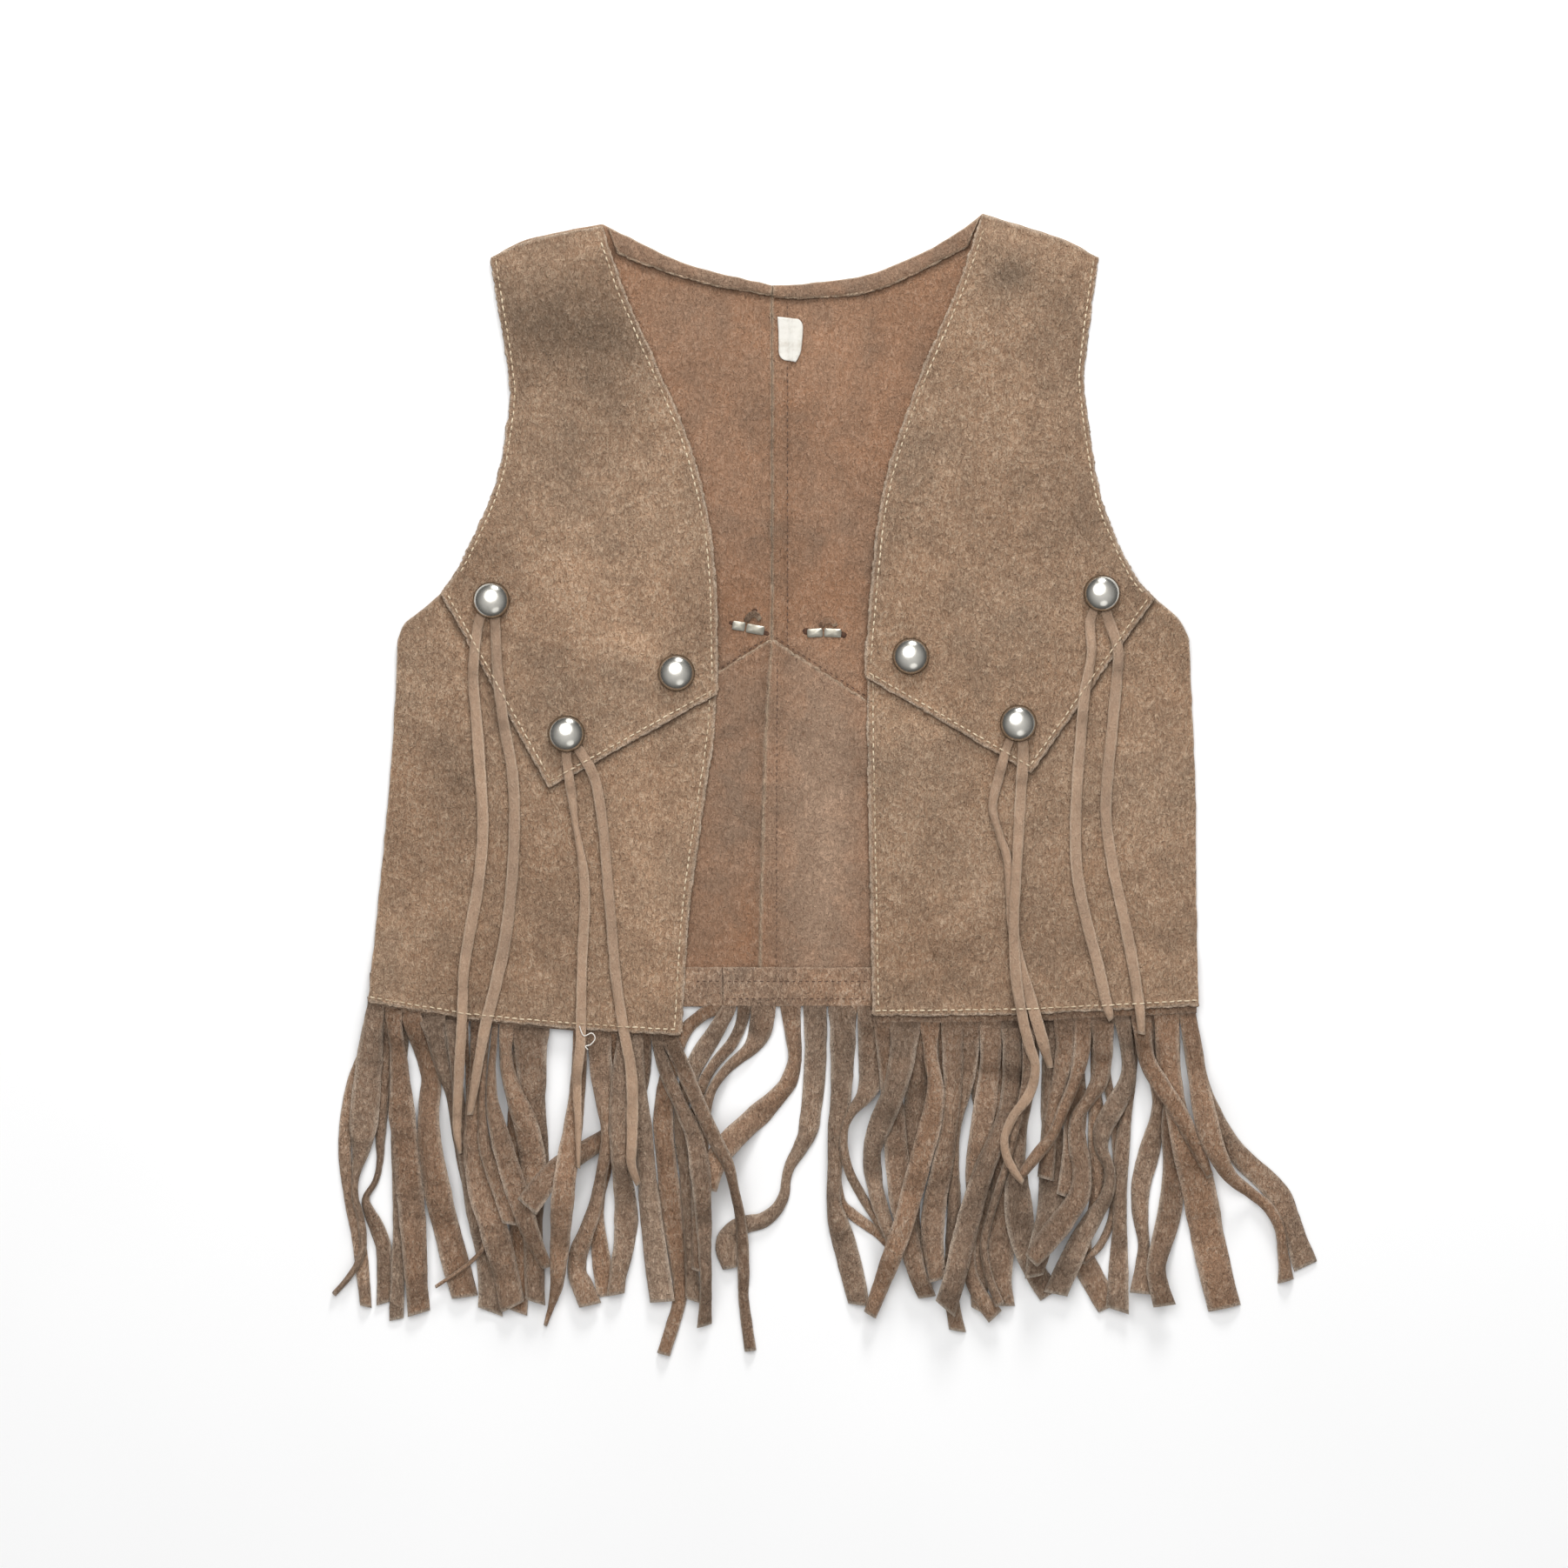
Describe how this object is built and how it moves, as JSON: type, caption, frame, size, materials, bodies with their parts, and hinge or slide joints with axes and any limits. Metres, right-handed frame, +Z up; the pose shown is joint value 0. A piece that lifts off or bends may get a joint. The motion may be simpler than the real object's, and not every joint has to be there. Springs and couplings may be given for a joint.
{
  "type": "fringe vest",
  "caption": "Suede open-front vest laid flat, with pointed front yokes, domed studs, lace thongs and a cut fringe hem.",
  "frame": {"origin": "on the surface the vest lies on, under the middle of its outline", "axes": "+Z up from that surface, +Y towards the neck, +X to the viewer's right"},
  "size_m": [0.5484, 0.6357, 0.016],
  "materials": {
    "suede_front": "light brown napped suede, mottled, matt",
    "suede_back": "redder brown napped suede, the inside of the hide",
    "suede_fringe": "brown napped suede with paler cut edges",
    "lace": "narrow suede lace",
    "stud": "bright nickel dome with a darkened rim",
    "prong": "dull grey bent metal",
    "label": "bare off-white woven label, creased"
  },
  "bodies": {
    "root": {"front_yoke_left": "suede_front", "front_yoke_right": "suede_front", "front_lower_left": "suede_front", "front_lower_right": "suede_front", "back_yoke_left": "suede_back", "back_yoke_right": "suede_back", "back_lower_left": "suede_back", "back_lower_right": "suede_back", "neck_hem_left": "suede_back", "neck_hem_right": "suede_back", "fringe_back_left": "suede_fringe", "fringe_back_right": "suede_fringe", "fringe_front_left": "suede_fringe", "fringe_front_right": "suede_fringe", "thongs_left_outer": "lace", "thongs_left_lower": "lace", "thongs_right_lower": "lace", "thongs_right_outer": "lace", "loop_left": "lace", "loop_right": "lace", "stud_left_outer": "stud", "stud_left_inner": "stud", "stud_left_lower": "stud", "stud_right_inner": "stud", "stud_right_lower": "stud", "stud_right_outer": "stud", "prong_left_a": "prong", "prong_left_b": "prong", "prong_right_a": "prong", "prong_right_b": "prong", "label": "label"}
  },
  "joints": []
}
